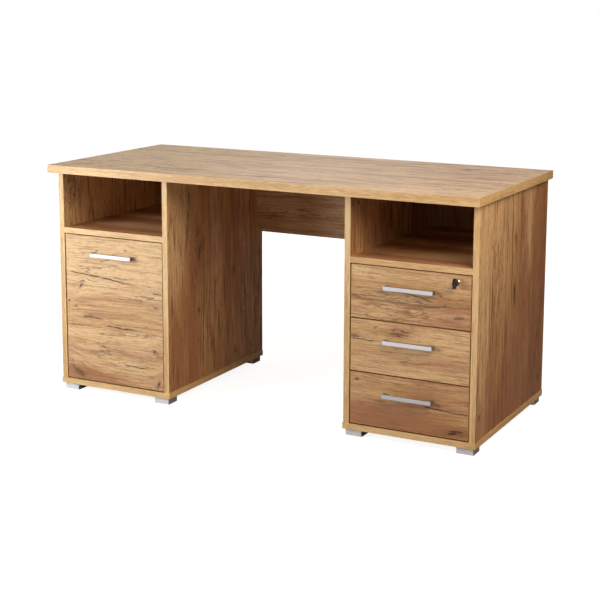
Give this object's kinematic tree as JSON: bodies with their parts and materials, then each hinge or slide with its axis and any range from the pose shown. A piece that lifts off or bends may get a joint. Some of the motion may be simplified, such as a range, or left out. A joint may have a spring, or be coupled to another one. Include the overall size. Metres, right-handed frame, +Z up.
{
  "type": "teacher desk",
  "caption": "Two-pedestal teacher desk in oak decor: top, modesty panel, open compartments, a hinged door on the left and drawers with a cam lock on the right.",
  "frame": {"origin": "on the floor, under the middle of the desk top", "axes": "+Z up, +X along the length of the top to the sitter's right, -Y towards the sitter, where the door and the drawers open"},
  "size_m": [1.45, 0.65, 0.74],
  "materials": {
    "oak_decor": "knotty oak decor foil on 18 and 25 mm particle board, satin",
    "back_board": "oak decor hardboard, matte",
    "drawer_foil": "pale grey foil on 12 mm board and 3 mm hardboard",
    "runner_steel": "white epoxy-coated sheet steel",
    "handle_silver": "satin silver",
    "foot_silver": "silver-painted plastic",
    "zinc": "zinc-plated",
    "chrome": "polished",
    "nylon": "moulded",
    "key_plastic": "moulded, black; the blade is steel"
  },
  "bodies": {
    "carcass": {"desk_top": "oak_decor", "modesty_panel": "oak_decor", "cupboard_shelf": "oak_decor", "door_pivot_lower": "zinc", "door_pivot_upper": "zinc", "left_outer_side": "oak_decor", "left_inner_side": "oak_decor", "left_base_panel": "oak_decor", "left_fixed_shelf": "oak_decor", "left_back_panel": "back_board", "left_foot_outer_front": "foot_silver", "left_foot_outer_rear": "foot_silver", "left_foot_inner_front": "foot_silver", "left_foot_inner_rear": "foot_silver", "right_outer_side": "oak_decor", "right_inner_side": "oak_decor", "right_base_panel": "oak_decor", "right_fixed_shelf": "oak_decor", "right_back_panel": "back_board", "right_foot_outer_front": "foot_silver", "right_foot_outer_rear": "foot_silver", "right_foot_inner_front": "foot_silver", "right_foot_inner_rear": "foot_silver", "bottom_cabinet_runner_left": "runner_steel", "bottom_cabinet_runner_right": "runner_steel", "middle_cabinet_runner_left": "runner_steel", "middle_cabinet_runner_right": "runner_steel", "top_cabinet_runner_left": "runner_steel", "top_cabinet_runner_right": "runner_steel"},
    "door": {"door": "oak_decor", "door_handle": "handle_silver", "door_bush_lower": "nylon", "door_bush_upper": "nylon"},
    "bottom_drawer": {"bottom_drawer_front": "oak_decor", "bottom_drawer_handle": "handle_silver", "bottom_drawer_side_left": "drawer_foil", "bottom_drawer_side_right": "drawer_foil", "bottom_drawer_back": "drawer_foil", "bottom_drawer_bottom": "drawer_foil", "bottom_drawer_runner_left": "runner_steel", "bottom_drawer_runner_right": "runner_steel"},
    "middle_drawer": {"middle_drawer_front": "oak_decor", "middle_drawer_handle": "handle_silver", "middle_drawer_side_left": "drawer_foil", "middle_drawer_side_right": "drawer_foil", "middle_drawer_back": "drawer_foil", "middle_drawer_bottom": "drawer_foil", "middle_drawer_runner_left": "runner_steel", "middle_drawer_runner_right": "runner_steel"},
    "top_drawer": {"top_drawer_front": "oak_decor", "top_drawer_handle": "handle_silver", "top_drawer_side_left": "drawer_foil", "top_drawer_side_right": "drawer_foil", "top_drawer_back": "drawer_foil", "top_drawer_bottom": "drawer_foil", "top_drawer_runner_left": "runner_steel", "top_drawer_runner_right": "runner_steel", "lock_barrel": "chrome"},
    "lock_plug": {"lock_plug": "zinc"},
    "lock_key": {"lock_key": "key_plastic"}
  },
  "joints": [
    {"name": "door_hinge", "type": "hinge", "parent": "carcass", "child": "door", "pos_m": [-0.679, -0.274, 0.278], "axis": [0, 0, -1], "range_deg": [0, 105]},
    {"name": "bottom_drawer_slide", "type": "slide", "parent": "carcass", "child": "bottom_drawer", "axis": [0, -1, 0], "range_m": [0, 0.375]},
    {"name": "middle_drawer_slide", "type": "slide", "parent": "carcass", "child": "middle_drawer", "axis": [0, -1, 0], "range_m": [0, 0.375]},
    {"name": "top_drawer_slide", "type": "slide", "parent": "carcass", "child": "top_drawer", "axis": [0, -1, 0], "range_m": [0, 0.375]},
    {"name": "lock_turn", "type": "hinge", "parent": "top_drawer", "child": "lock_plug", "pos_m": [0.648, -0.27, 0.492], "axis": [0, 1, 0], "range_deg": [0, 90]},
    {"name": "key_withdraw", "type": "slide", "parent": "lock_plug", "child": "lock_key", "axis": [0, -1, 0], "range_m": [0, 0.03]}
  ]
}
